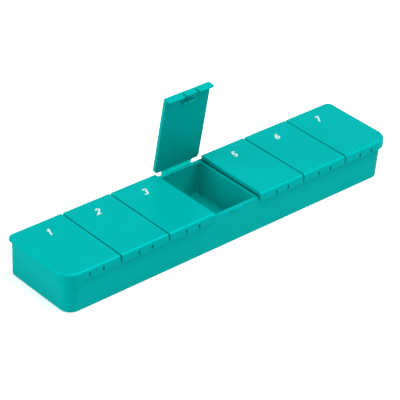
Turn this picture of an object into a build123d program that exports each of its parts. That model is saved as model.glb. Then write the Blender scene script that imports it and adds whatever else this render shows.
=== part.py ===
from build123d import *
import os
from math import cos, radians, sin, tan

os.makedirs("parts", exist_ok=True)

# Weekly pill box, in millimetres. X runs along the row of compartments, the snap tabs are on the -Y side,
# the hinges on the +Y side, and Z is up. The origin is the centre of the tray's bottom face.

# The row and the lids
day_count = 7
pitch = 28.0  # one compartment with its share of the dividers
end_overhang = 3.0  # an end lid is longer than the pitch by this much
lid_depth = 43.0  # front face of the skirt to the back edge
overall_height = 21.5
lid_plate = 1.9
lid_drop = 4.6  # top of a lid to the bottom of its skirt
lid_gap = 0.6  # between neighbouring lids
skirt_wall = 0.9
skirt_back_stop = 5.5  # an end skirt stops this far before the back edge
lid_front_corner = 8.0  # plan corners of the two end lids
lid_back_corner = 3.2
lid_edge_round = 1.5  # top edges round the outside of the row
groove_edge_round = 0.5  # top edges along the grooves
notch_round = 1.8  # plan corners at the back of a groove
open_lid_index = 4
open_angle = 83.0  # how far the open lid stands open

# The snap tab in the middle of each front skirt, and the rib under the lid
slot_width = 1.1
slot_spacing = 7.7  # centre to centre
slot_height = 2.6
skirt_corner = 0.6  # lower corners of the skirt, at the slots and the grooves
tab_wall = 0.55
rib_width = 7.0
rib_thickness = 1.2
rib_height = 1.8
rib_round = 0.45
rib_clearance = 1.6  # behind the tray's front wall

# The tray
rim_drop = 0.9  # underside of a closed lid to the rim
front_clearance = 0.35  # skirt to the front wall
end_clearance = 0.9  # skirt to the end wall
back_step = 0.4  # the back wall stands this far behind the lids
tray_front_corner = 6.6
tray_back_corner = 3.5
side_draft = 1.2
end_draft = 3.0
inner_draft = 1.0
front_wall = 2.0
end_wall = 2.0
back_wall = 1.8
divider = 2.2
floor = 1.2
pocket_corner = 1.3
pocket_bottom_round = 1.0
base_edge_round = 0.6
rim_edge_round = 0.3  # inner edges of the rim
bead_width = 6.5
bead_reach = 0.5
bead_height = 1.0
bead_round = 0.35

# The living hinges
film = 0.3
film_width = 18.5
film_bow = 0.3  # centre line of the film behind the back wall
axis_behind = 0.4  # hinge axis behind the back wall
axis_above = 0.2  # hinge axis above the underside of a closed lid

# The printed numerals
numeral_height = 4.6
numeral_width = 2.75
numeral_stroke = 0.85
numeral_slant = 20.0  # how far the upright strokes lean to the right, in degrees
numeral_ink = 0.05
numeral_from_back = 9.6  # centre of the numeral to the back edge of the lid
six_tail_radius = 3.2
curve_step = 22.5  # degrees between the points of a curved stroke

cut_past = 1.0  # how far a cutting shape runs out of the solid
same_place = 0.01  # two positions closer than this are the same

# Heights and depths that follow
overall_length = day_count * pitch + 2 * end_overhang
lid_under = overall_height - lid_plate
rim = lid_under - rim_drop
rim_length = overall_length - 2 * (skirt_wall + end_clearance)
rim_depth = lid_depth + back_step - skirt_wall - front_clearance
rim_back = rim_depth / 2
rim_front = -rim_depth / 2
axis_y = rim_back + axis_behind
axis_z = lid_under + axis_above
base_side_inset = rim * tan(radians(side_draft))
base_end_inset = rim * tan(radians(end_draft))
pocket_inset = (rim - floor) * tan(radians(inner_draft))

# A lid is drawn from the hinge axis
front = rim_front - front_clearance - skirt_wall - axis_y
back = front + lid_depth
top = overall_height - axis_z
under = lid_under - axis_z
low = top - lid_drop


def groove_x(index):
    """X of the line between two compartments; 0 is the left end of the row of pitches."""
    return (index - day_count / 2) * pitch


def centre_x(day):
    """X of the middle of a compartment, counted from 1."""
    return groove_x(day - 0.5)


def swing(day):
    """How far a lid stands open as built."""
    return open_angle if day == open_lid_index else 0.0


def lid_frame(day):
    """Plane on the hinge axis: X along the row, -Y to the tab, Z out of the lid's top."""
    angle = radians(swing(day))
    return Plane(origin=(0, axis_y, axis_z), x_dir=(1, 0, 0), z_dir=(0, sin(angle), cos(angle)))


def box_plan(x_min, x_max, y_min, y_max):
    """A rectangle given by its sides."""
    with Locations(((x_min + x_max) / 2, (y_min + y_max) / 2)):
        Rectangle(x_max - x_min, y_max - y_min)


def round_corner(plan, x_side, y_side, radius):
    """Rounds one corner of a plan. A side is 0 for the lower end of its axis and -1 for the upper end."""
    fillet(plan.vertices().group_by(Axis.X)[x_side].sort_by(Axis.Y)[y_side], radius=radius)


def outline_plan(plan, end_inset, side_inset):
    """Plan of the tray, moved in at the ends and at the two long sides."""
    half = rim_length / 2 - end_inset
    box_plan(-half, half, rim_front + side_inset, rim_back - side_inset)
    fillet(plan.vertices().group_by(Axis.Y)[0], radius=tray_front_corner - end_inset)
    fillet(plan.vertices().group_by(Axis.Y)[-1], radius=tray_back_corner - end_inset)


def pocket_plan(plan, day, inset):
    """Plan of a compartment, smaller all round by the inset. At an end wall the corners are wider."""
    first = day == 1
    last = day == day_count
    left = -rim_length / 2 + end_wall if first else groove_x(day - 1) + divider / 2
    right = rim_length / 2 - end_wall if last else groove_x(day) - divider / 2
    box_plan(left + inset, right - inset, rim_front + front_wall + inset, rim_back - back_wall - inset)
    for x_side, at_end in ((0, first), (-1, last)):
        round_corner(plan, x_side, 0, tray_front_corner - end_wall if at_end else pocket_corner)
        round_corner(plan, x_side, -1, pocket_corner)


# The tray: a drafted box with rounded corners, seven compartments and a catch bead before each
with BuildPart() as tray:
    with BuildSketch() as base_plan:
        outline_plan(base_plan, base_end_inset, base_side_inset)
    with BuildSketch(Plane.XY.offset(rim)) as rim_plan:
        outline_plan(rim_plan, 0, 0)
    loft(ruled=True)
    fillet(tray.faces().sort_by(Axis.Z)[0].edges(), radius=base_edge_round)
    for day in range(1, day_count + 1):
        with BuildSketch(Plane.XY.offset(floor)) as pocket_low:
            pocket_plan(pocket_low, day, pocket_inset)
        with BuildSketch(Plane.XY.offset(rim)) as pocket_high:
            pocket_plan(pocket_high, day, 0)
        loft(ruled=True, mode=Mode.SUBTRACT)
        pocket_floor = tray.faces().filter_by(Axis.Z).group_by(Axis.Z)[1].sort_by(Axis.X)[-1]
        fillet(pocket_floor.edges(), radius=pocket_bottom_round)
    pocket_mouths = tray.faces().sort_by(Axis.Z)[-1].inner_wires()
    fillet(pocket_mouths.edges(), radius=rim_edge_round)
    with BuildSketch(Plane.XY.offset(rim - bead_height)) as bead_plan:
        for day in range(1, day_count + 1):
            half = bead_width / 2
            box_plan(centre_x(day) - half, centre_x(day) + half, rim_front - bead_reach, rim_front + bead_reach)
        fillet(bead_plan.vertices().group_by(Axis.Y)[0], radius=bead_round)
    extrude(amount=bead_height)
tray.part.label = "tray"
export_step(tray.part, "parts/tray.step")


def make_lid(day):
    """One lid: a plate with a front skirt, two slots that free the tab, and a rib behind the front wall."""
    frame = lid_frame(day)
    up = Axis(frame.origin, frame.z_dir)
    first = day == 1
    last = day == day_count
    left = -overall_length / 2 if first else groove_x(day - 1) + lid_gap / 2
    right = overall_length / 2 if last else groove_x(day) - lid_gap / 2
    sides = ([] if first else [left]) + ([] if last else [right])
    middle = centre_x(day)
    with BuildPart() as lid:
        with BuildSketch(frame.offset(low)) as plan:
            box_plan(left, right, front, back)
            for x_side, at_end in ((0, first), (-1, last)):
                if at_end:
                    round_corner(plan, x_side, 0, lid_front_corner)
                    round_corner(plan, x_side, -1, lid_back_corner)
        extrude(amount=top - low)

        # Rounded outside edges first, then the small rounding that runs down each groove side
        rim_edges = [
            edge
            for edge in lid.faces().sort_by(up)[-1].edges()
            if all(abs(edge.center().X - side) > same_place for side in sides)
        ]
        fillet(rim_edges, radius=lid_edge_round)
        for side in sides:
            face = lid.faces().filter_by(Axis.X).sort_by(Axis.X)[0 if side == left else -1]
            fillet(face.edges().sort_by(up)[1:], radius=groove_edge_round)

        # Notches where a groove reaches the back edge
        for side in sides:
            inward = 1 if side == left else -1
            with BuildSketch(frame.offset(low)):
                corner = side + inward * notch_round
                past = side - inward * cut_past
                box_plan(min(corner, past), max(corner, past), back - notch_round, back + cut_past)
                with Locations((corner, back - notch_round)):
                    Circle(notch_round, mode=Mode.SUBTRACT)
            extrude(amount=top - low, mode=Mode.SUBTRACT)

        # Hollow below the plate, behind the skirt
        with BuildSketch(frame.offset(low)) as hollow:
            box_plan(
                left + skirt_wall if first else left - cut_past,
                right - skirt_wall if last else right + cut_past,
                front + skirt_wall,
                back - skirt_wall,
            )
            for x_side, at_end in ((0, first), (-1, last)):
                if at_end:
                    round_corner(hollow, x_side, 0, lid_front_corner - skirt_wall)
                    round_corner(hollow, x_side, -1, lid_back_corner - skirt_wall)
            box_plan(left - cut_past, right + cut_past, back - skirt_back_stop, back + cut_past)
        extrude(amount=under - low, mode=Mode.SUBTRACT)

        # Two slots through the skirt, and the thinner tab between them
        with BuildSketch(frame.offset(low)):
            for slot_x in (middle - slot_spacing / 2, middle + slot_spacing / 2):
                half = slot_width / 2
                box_plan(slot_x - half, slot_x + half, front - cut_past, front + skirt_wall + cut_past)
            half = slot_spacing / 2
            box_plan(middle - half, middle + half, front + tab_wall, front + skirt_wall + cut_past)
        extrude(amount=slot_height, mode=Mode.SUBTRACT)
        skirt_bottom = lid.faces().filter_by(up).group_by(up)[0]
        across = skirt_bottom.edges().filter_by(Axis(frame.origin, frame.y_dir))
        fillet([edge for edge in across if edge.length < skirt_wall + same_place], radius=skirt_corner)

        # The rib under the plate
        with BuildSketch(frame.offset(under - rib_height)):
            rib_front = front + skirt_wall + front_clearance + front_wall + rib_clearance
            half = rib_width / 2
            box_plan(middle - half, middle + half, rib_front, rib_front + rib_thickness)
        extrude(amount=rib_height)
        rib_end = lid.faces().filter_by(up).group_by(up)[1]
        fillet(rib_end.edges(), radius=rib_round)
    return lid


def make_hinge(day):
    """A thin web from the top of the back wall to the back edge of the lid's plate."""
    frame = lid_frame(day)
    with BuildPart() as web:
        with BuildSketch(Plane.YZ.offset(centre_x(day))):
            with BuildLine():
                lower = JernArc((rim_back, rim - film / 2), (1, 0), film_bow, 90)
                if swing(day):
                    Line(lower @ 1, (rim_back + film_bow, overall_height))
                else:
                    riser = Line(lower @ 1, (rim_back + film_bow, lid_under + film / 2 - film_bow))
                    upper = JernArc(riser @ 1, (0, 1), film_bow, 90)
                    Line(upper @ 1, (back + axis_y, lid_under + film / 2))
            trace(line_width=film)
        extrude(amount=film_width / 2, both=True)
        if swing(day):
            # An open lid's web ends on the lid's back face
            lid_back_face = Plane(origin=frame.from_local_coords((0, back, 0)), z_dir=-frame.y_dir)
            split(bisect_by=lid_back_face, keep=Keep.BOTTOM)
    return web


def digit_strokes(digit):
    """Centre lines of a plain digit: corner points, or centre, radius, start angle and sweep of an arc."""
    w = (numeral_width - numeral_stroke) / 2
    h = (numeral_height - numeral_stroke) / 2
    end = numeral_height / 2
    ring_y = w - h
    bowl = h / 2
    tail = six_tail_radius
    neck = radians(35)
    shapes = {
        1: [[(0.2 * w, end), (0.2 * w, -end)], [(-0.7 * w, 0.5 * h), (0.2 * w, 0.95 * h)]],
        2: [
            ((0, h - w), w, 170, -205),
            [(w * cos(neck), h - w - w * sin(neck)), (-w, -h), (w, -h)],
        ],
        3: [((0, bowl), bowl, 150, -240), ((0, -bowl), bowl, 90, -240)],
        4: [
            [(0.6 * w, 0.4 * h), (0.6 * w, -end)],
            [(-0.5 * w, end), (-1.1 * w, -0.35 * h), (1.2 * w, -0.35 * h)],
        ],
        5: [[(0.85 * w, h), (-0.8 * w, h), (-0.8 * w, -0.1 * h)], ((0, ring_y), w, 145, -290)],
        6: [((0, ring_y), w, 0, 180), ((0, ring_y), w, 180, 180), ((tail - w, ring_y), tail, 180, -59)],
        7: [[(-w, h), (w, h), (-0.25 * w, -end)]],
    }
    return shapes[digit]


def slanted(points):
    """Leans a stroke to the right."""
    lean = tan(radians(numeral_slant))
    return [(x + lean * y, y) for x, y in points]


def curve_points(centre, radius, start, sweep):
    """Points along a part of a circle."""
    steps = round(abs(sweep) / curve_step)
    angles = [radians(start + sweep * i / steps) for i in range(steps + 1)]
    return [(centre[0] + radius * cos(angle), centre[1] + radius * sin(angle)) for angle in angles]


def make_numeral(day):
    """A printed digit on top of the lid, near the hinge, for someone at the tab side to read."""
    frame = lid_frame(day)
    place = frame.from_local_coords((centre_x(day), back - numeral_from_back, top))
    with BuildPart() as numeral:
        with BuildSketch(Plane(origin=place, x_dir=frame.x_dir, z_dir=frame.z_dir)):
            for stroke in digit_strokes((day - 1) % 7 + 1):
                with BuildLine():
                    if isinstance(stroke, list):
                        Polyline(*slanted(stroke))
                    else:
                        Spline(*slanted(curve_points(*stroke)))
                trace(line_width=numeral_stroke)
        extrude(amount=numeral_ink)
    return numeral


for day in range(1, day_count + 1):
    lid = make_lid(day)
    lid.part.label = f"lid_{day}"
    export_step(lid.part, f"parts/lid_{day}.step")
    web = make_hinge(day)
    web.part.label = f"hinge_{day}"
    export_step(web.part, f"parts/hinge_{day}.step")
    numeral = make_numeral(day)
    numeral.part.label = f"numeral_{day}"
    export_step(numeral.part, f"parts/numeral_{day}.step")
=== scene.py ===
# %% [markdown]
# # A weekly pill box
# The object is a long tray of seven compartments with seven flip lids, moulded in teal
# polypropylene. Its CAD model arrives as a fixed frame of named nodes. Their shapes are right, so
# this script leaves them alone. It gives each one a real finish, draws the thin hinges as new
# pieces shaped for the pose of their lids, and lights the scene. Blender's lengths are metres, so
# MM turns a size on the object, which is easier to picture in millimetres, into one.

# %% Load the frame
from math import cos, pi, radians, sin

import bmesh
import bpy
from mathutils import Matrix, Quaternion, Vector


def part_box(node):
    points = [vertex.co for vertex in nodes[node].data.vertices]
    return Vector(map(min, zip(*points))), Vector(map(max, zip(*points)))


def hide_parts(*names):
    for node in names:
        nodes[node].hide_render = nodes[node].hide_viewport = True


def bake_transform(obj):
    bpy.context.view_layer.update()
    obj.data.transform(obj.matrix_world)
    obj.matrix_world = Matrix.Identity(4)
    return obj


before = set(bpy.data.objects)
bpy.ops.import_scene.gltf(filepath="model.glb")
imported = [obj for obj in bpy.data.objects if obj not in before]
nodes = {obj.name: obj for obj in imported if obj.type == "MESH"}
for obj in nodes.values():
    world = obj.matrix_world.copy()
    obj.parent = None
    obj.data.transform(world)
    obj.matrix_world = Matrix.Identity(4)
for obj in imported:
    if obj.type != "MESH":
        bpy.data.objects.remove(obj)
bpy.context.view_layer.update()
MM = 0.001
days = range(1, 8)


# %% [markdown]
# ## Colours and nodes
# Paint charts and web pages give a colour as sRGB hex, but a shader works in linear light. One
# function turns the one into the other. A second small function adds a node, sets it and wires it
# in a single line, which keeps the recipe of each material short enough to read. Both could be done
# by hand in the shader editor, but a recipe in words can be read again and changed later.

# %% Helpers for materials
def colour(text):
    """An sRGB hex colour as linear red, green, blue and alpha."""
    parts = [int(text[i:i + 2], 16) / 255 for i in (1, 3, 5)]
    return [c / 12.92 if c <= 0.04045 else ((c + 0.055) / 1.055) ** 2.4 for c in parts] + [1.0]


def add(tree, kind, links=None, **settings):
    """Adds a node. Settings name its properties or its sockets; links name sockets to wire."""
    node = tree.nodes.new("ShaderNode" + kind)
    for name, value in settings.items():
        if hasattr(node, name):
            setattr(node, name, value)
        else:
            node.inputs[name.replace("_", " ")].default_value = value
    for socket, output in (links or {}).items():
        tree.links.new(output, node.inputs[socket])
    return node


def empty_tree(owner):
    """The cleared node tree of a material or a world."""
    owner.use_nodes = True
    owner.node_tree.nodes.clear()
    return owner.node_tree


print("teal in linear light:", [round(c, 3) for c in colour("#00C2BE")])


# %% [markdown]
# ## A colour that isn't quite even
# No moulding and no coat of ink has exactly one colour all over. A single colour would look like
# paper. A picture of the surface could be wrapped round the piece, but a noise on Object
# coordinates can be given a real size in millimetres and needs no unwrapping. It mixes two near
# colours, and the same noise can also drive the roughness.

# %% Drifting colour
COLOUR_A, COLOUR_B, COLOUR_OUT = 6, 7, 2  # the sockets of a Mix node that carry colours


def drifting_colour(tree, place, size, pale, deep):
    """Mixes two near colours by a noise of a real size. Returns the colour and the noise."""
    noise = add(tree, "TexNoise", {"Vector": place}, Scale=1 / size, Detail=3.0).outputs["Fac"]
    mix = add(tree, "Mix", {0: noise}, data_type="RGBA")
    mix.inputs[COLOUR_A].default_value = colour(deep)
    mix.inputs[COLOUR_B].default_value = colour(pale)
    return mix.outputs[COLOUR_OUT], noise


print("noise scale for a drift over 12 mm:", round(1 / (12 * MM), 1))


# %% [markdown]
# ## Moulded polypropylene
# Tray and lids are injection moulded in polypropylene, a slightly waxy plastic with an index of
# refraction of 1.49. The tool was spark eroded, so the surface has a very fine grain that breaks up
# reflections into a soft satin sheen. What the eye reads as plastic is this sheen, above all the
# bright line along a rounded edge, and its small unevenness. So roughness and colour drift slowly
# over about a centimetre, as cooling does on a real moulding, and the grain is a bump. The real
# grain is about 0.1 mm, too fine for the picture, so it is drawn at 0.5 mm.
#
# A plastic's own reflection is white, but on this box even the bright edges stay a pure teal. The
# typical values, an IOR of 1.49 at full specular level and no metal, put a grey veil over the
# walls. So nearly all the sheen comes from a small metallic share, which takes the pigment's
# colour, and only a trace of the white part is left.

# %% Satin polypropylene
DRIFT = 12 * MM
GRAIN = 0.5 * MM
GRAIN_DEPTH = 0.02 * MM
GRAIN_STRENGTH = 0.25
SHEEN_DRIFT = 0.05  # how far the roughness wanders to either side
TINTED_SHEEN = 0.15
WHITE_SHEEN = 0.01


def moulded_polypropylene(name, pale, deep, rough, see_through=0.0):
    """Satin injection-moulded polypropylene whose colour drifts between two near ones."""
    material = bpy.data.materials.new(name)
    tree = empty_tree(material)
    place = add(tree, "TexCoord").outputs["Object"]
    pigment, drift = drifting_colour(tree, place, DRIFT, pale, deep)
    sheen = add(tree, "MapRange", {"Value": drift},
                To_Min=rough - SHEEN_DRIFT, To_Max=rough + SHEEN_DRIFT)
    grain = add(tree, "TexNoise", {"Vector": place}, Scale=1 / GRAIN, Detail=2.0)
    bump = add(tree, "Bump", {"Height": grain.outputs["Fac"]},
               Strength=GRAIN_STRENGTH, Distance=GRAIN_DEPTH)
    surface = add(
        tree, "BsdfPrincipled",
        {"Base Color": pigment, "Roughness": sheen.outputs["Result"],
         "Normal": bump.outputs["Normal"]},
        IOR=1.49, Metallic=TINTED_SHEEN, Specular_IOR_Level=WHITE_SHEEN,
        Specular_Tint=colour("#00D6CF"), Transmission_Weight=see_through)
    add(tree, "OutputMaterial", {"Surface": surface.outputs["BSDF"]})
    return material


teal = moulded_polypropylene("satin_polypropylene", "#00C2BE", "#00BCB7", rough=0.36)
for name in ["tray"] + [f"lid_{day}" for day in days]:
    nodes[name].material_slots[0].material = teal
print("material:", teal.name, "on the tray and", len(days), "lids")


# %% [markdown]
# ## Printed numerals
# The numbers are pad printed in one thin white coat of ink. It could be a pattern in the lid's
# material, but the CAD model has each number as its own thin solid, which keeps its edges crisp at
# any distance. The ink is shinier than the grained plastic and not quite even, so a trace of teal
# shows where the coat is thin. A pure white would look like a hole in the plastic. So the ink is a
# slightly cool white with a small drift.

# %% Pad-printed ink
INK_DRIFT = 1.2 * MM
ink = bpy.data.materials.new("pad_printed_ink")
tree = empty_tree(ink)
place = add(tree, "TexCoord").outputs["Object"]
coat, _ = drifting_colour(tree, place, INK_DRIFT, "#E6FEFE", "#D2FAFA")
surface = add(tree, "BsdfPrincipled", {"Base Color": coat}, Roughness=0.4)
add(tree, "OutputMaterial", {"Surface": surface.outputs["BSDF"]})
for day in days:
    nodes[f"numeral_{day}"].material_slots[0].material = ink
print("material:", ink.name, "on", len(days), "numerals")


# %% [markdown]
# ## Film hinges
# A living hinge is the same plastic pressed down to a few tenths of a millimetre, so light comes
# through it and flexing turns it paler. The same recipe as for the lids makes it, with a share of
# the light let through and a lighter colour. That lighter colour is partly the paler plastic and
# partly painted light: it brightens the film as the light shining through it does.

# %% Thin polypropylene
# the lighter colours are partly painted light, for the glow of light shining through the thin film
film_plastic = moulded_polypropylene("hinge_film_polypropylene", "#0CEAE0", "#00E0D6",
                                     rough=0.4, see_through=0.65)
print("material:", film_plastic.name)

# %% [markdown]
# ## The section of a film
# Each film leaves the tray's back wall low down, turns upwards in a quarter round and climbs to the
# lid. Under a closed lid it turns forwards again and meets the lid's back edge. It could be left as
# the CAD solid, but that is one fixed shape. Here the strip is drawn out in many short steps as
# rows of faces, in the shape that its lid's pose needs. Two moves draw the whole section: a
# straight extrusion, and a spin about an axis along the row of lids.

# %% Two moves that draw a section
STEPS_ROUND = 6


def only(kind, items):
    """The items of one kind, such as the corners or the edges."""
    return [item for item in items if isinstance(item, kind)]


def draw_out(mesh, edges, offset, steps):
    """Extrudes edges in equal steps and returns the last ones."""
    for _ in range(steps):
        made = bmesh.ops.extrude_edge_only(mesh, edges=edges)["geom"]
        corners = only(bmesh.types.BMVert, made)
        bmesh.ops.translate(mesh, verts=corners, vec=Vector(offset) / steps)
        edges = [edge for edge in only(bmesh.types.BMEdge, made)
                 if all(corner in corners for corner in edge.verts)]
    return edges


def bend_round(mesh, edges, centre):
    """Turns edges a quarter round an axis along X and returns the last ones."""
    made = bmesh.ops.spin(mesh, geom=edges, cent=centre, axis=(1, 0, 0), angle=pi / 2,
                          steps=STEPS_ROUND)
    return only(bmesh.types.BMEdge, made["geom_last"])


print("angle of one step round in degrees:", 90 / STEPS_ROUND)

# %% Film section
FILM = 0.3 * MM  # thickness
BOW = 0.3 * MM  # from the back wall to the film's middle line
STEPS_UP_OPEN, STEPS_UP_CLOSED, STEPS_FORWARD = 10, 8, 2
back_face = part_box("tray")[1].y


def film_section(low, high, stands_open):
    """The side view of a film as a ribbon of faces, inside the box of its CAD node."""
    mesh = bmesh.new()
    root = [mesh.verts.new((low.x, back_face, low.z)),
            mesh.verts.new((low.x, back_face, low.z + FILM))]
    edges = [mesh.edges.new(root)]
    edges = bend_round(mesh, edges, (0, back_face, low.z + FILM / 2 + BOW))
    if stands_open:
        draw_out(mesh, edges, (0, 0, high.z - low.z - FILM / 2 - BOW), STEPS_UP_OPEN)
    else:
        edges = draw_out(mesh, edges, (0, 0, high.z - low.z - FILM - 2 * BOW), STEPS_UP_CLOSED)
        edges = bend_round(mesh, edges, (0, back_face, high.z - FILM / 2 - BOW))
        draw_out(mesh, edges, (0, low.y - back_face, 0), STEPS_FORWARD)
    return mesh


print("back wall at y in mm:", round(back_face / MM, 2))


# %% [markdown]
# ## From section to film
# The ribbon is extruded along the row to the film's width, which closes it into a thin solid. One
# film stands open with its lid, and its section has no second bend.

# %% One film for each lid
OPEN_HEIGHT = 40 * MM  # the top of a lid is higher than this only when it stands open
WELD = 0.005 * MM


def film_strip(day):
    """The film of one lid, from the tray's back face up to the lid."""
    low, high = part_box(f"hinge_{day}")
    mesh = film_section(low, high, stands_open=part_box(f"lid_{day}")[1].z > OPEN_HEIGHT)
    widened = bmesh.ops.extrude_face_region(mesh, geom=mesh.faces[:])["geom"]
    bmesh.ops.translate(mesh, verts=only(bmesh.types.BMVert, widened), vec=(high.x - low.x, 0, 0))
    bmesh.ops.remove_doubles(mesh, verts=mesh.verts[:], dist=WELD)
    bmesh.ops.recalc_face_normals(mesh, faces=mesh.faces[:])
    data = bpy.data.meshes.new(f"film_{day}")
    mesh.to_mesh(data)
    mesh.free()
    data.materials.append(film_plastic)
    piece = bpy.data.objects.new(f"film_{day}", data)
    bpy.context.collection.objects.link(piece)
    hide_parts(f"hinge_{day}")
    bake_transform(piece)
    return piece


films = [film_strip(day) for day in days]
print("films:", len(films), "faces in one:", len(films[0].data.polygons))


# %% [markdown]
# ## Floor and world
# The box lies on a white sweep, as in a shop picture. The white of the background must not come
# from more light, because that would bleach the plastic. So wherever a camera, glossy or
# transmission ray meets the floor, a glow is added to the light that its paper throws back. The sum
# is white, and the ground beside the box, which gets less lamp light, still shows a soft shadow.
# Every other ray sees plain pale paper. The world works the same way: white where it is seen, and
# nearly dark as a light.

# %% White where it is seen
WHITE = (1, 1, 1, 1)


def seen_directly(tree, otherwise, seen):
    """A strength for camera, glossy and transmission rays, and another for all other rays."""
    rays = add(tree, "LightPath")
    direct = rays.outputs["Is Camera Ray"]
    for ray in ("Is Glossy Ray", "Is Transmission Ray"):
        either = add(tree, "Math", {0: direct, 1: rays.outputs[ray]}, operation="MAXIMUM")
        direct = either.outputs[0]
    strength = add(tree, "MapRange", {"Value": direct}, To_Min=otherwise, To_Max=seen)
    return strength.outputs["Result"]


world = bpy.data.worlds.new("studio")
bpy.context.scene.world = world
tree = empty_tree(world)
sky = add(tree, "Background", {"Strength": seen_directly(tree, 0.05, 1.0)}, Color=WHITE)
add(tree, "OutputWorld", {"Surface": sky.outputs[0]})
print("world:", world.name)

# %% White sweep
FLOOR_SIZE = 8  # metres, so that its edge is never in the picture
sweep_paper = bpy.data.materials.new("white_sweep")
tree = empty_tree(sweep_paper)
paper = add(tree, "BsdfDiffuse", Color=colour("#F2F2F2"))
glow = add(tree, "Emission", {"Strength": seen_directly(tree, 0.0, 0.6)}, Color=WHITE)
both = add(tree, "AddShader", {0: paper.outputs[0], 1: glow.outputs[0]})
add(tree, "OutputMaterial", {"Surface": both.outputs[0]})
bpy.ops.mesh.primitive_plane_add(size=FLOOR_SIZE)
floor = bpy.context.object
floor.name = "white_sweep"
floor.data.materials.append(sweep_paper)
print("floor:", floor.name, "with a side of", FLOOR_SIZE, "m")


# %% [markdown]
# ## Soft boxes
# The shop picture has soft shading and hardly any shadow, so its lamps are wide and stand about
# five times the box's length away. One bright sky could light it as evenly, but then all the walls
# would be alike. Three lamps give each side its own level: the tops are lightest, the left end
# comes next, the long front is a little darker, and the underside of the open lid is darkest. Light
# adds up, so the power of each lamp was set by comparing the box under one lamp at a time.

# %% Three soft boxes
LAMP_SIDE = 0.5


def soft_box(name, place, watts):
    """A square lamp at a place, turned to the middle of the box's base."""
    lamp = bpy.data.lights.new(name, "AREA")
    lamp.shape = "SQUARE"
    lamp.size = LAMP_SIDE
    lamp.energy = watts
    holder = bpy.data.objects.new(name, lamp)
    bpy.context.collection.objects.link(holder)
    holder.location = place
    holder.rotation_euler = (-Vector(place)).to_track_quat("-Z", "Y").to_euler()
    print(name, "at", place, "with", watts, "W")


soft_box("overhead", (0, -0.15, 1.0), 4.5)
soft_box("left", (-0.9, 0.3, 0.4), 4.3)
soft_box("front_right", (0.5, -0.4, 0.8), 4.5)


# %% [markdown]
# ## Camera
# The picture was taken from the front left and from above, with a long lens, so that the far end
# looks nearly as large as the near one. A camera could be moved by hand until it looks right. Here
# its turn, height, distance, roll and lens come from a fit to the corners and grooves of the box,
# which brings most of them within a pixel. The lens is given in pixels, as the fit finds it.

# %% Camera
AZIMUTH, ELEVATION, DISTANCE, ROLL = -43.9, 32.5, 0.927, 3.93
AIM = Vector((-3.46, 0, 13.23)) * MM
FOCAL_IN_PIXELS, PICTURE = 1986, 400
NEAR = 10 * MM
turn, tilt = radians(AZIMUTH), radians(ELEVATION)
back = Vector((sin(turn) * cos(tilt), -cos(turn) * cos(tilt), sin(tilt)))
lens = bpy.data.cameras.new("camera")
lens.lens = lens.sensor_width * FOCAL_IN_PIXELS / PICTURE
lens.clip_start = NEAR
camera = bpy.data.objects.new("camera", lens)
bpy.context.collection.objects.link(camera)
camera.rotation_mode = "QUATERNION"
camera.location = AIM + back * DISTANCE
camera.rotation_quaternion = back.to_track_quat("Z", "Y") @ Quaternion((0, 0, 1), radians(ROLL))
bpy.context.scene.camera = camera
bpy.context.scene.view_settings.view_transform = "Standard"
print("lens in mm:", round(lens.lens, 1))
